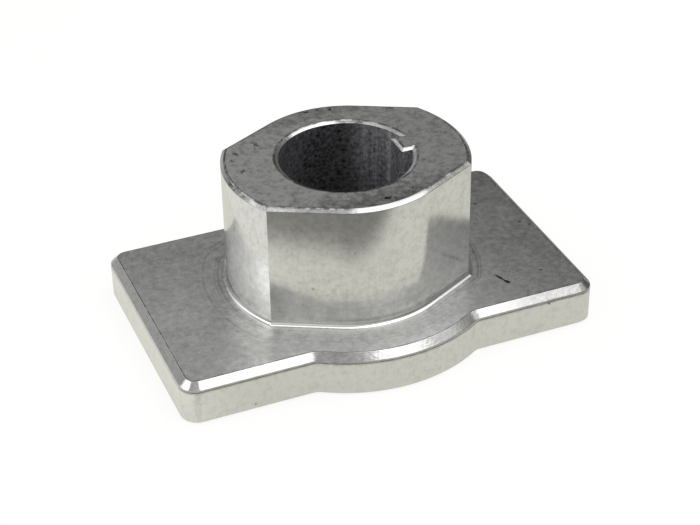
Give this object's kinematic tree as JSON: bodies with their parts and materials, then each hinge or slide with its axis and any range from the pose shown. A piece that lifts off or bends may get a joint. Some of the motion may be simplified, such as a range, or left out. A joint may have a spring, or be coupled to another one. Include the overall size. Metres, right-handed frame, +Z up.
{
  "type": "mower blade adapter",
  "caption": "One-piece machined aluminium blade adapter: a chamfered plate with round ears carries a tall flatted hub, bored for a crankshaft with a key left standing in the bore.",
  "frame": {"origin": "on the bore axis, at the middle of the plate's underside", "axes": "+Z up the bore axis from the plate to the hub's end face, +X along the plate's length towards the key in the bore"},
  "size_m": [0.073, 0.0512, 0.0297],
  "materials": {
    "machined_aluminium": "bare milled aluminium, satin faces with fine tool marks and bright chamfers"
  },
  "bodies": {
    "root": {"blade_adapter": "machined_aluminium"}
  },
  "joints": []
}
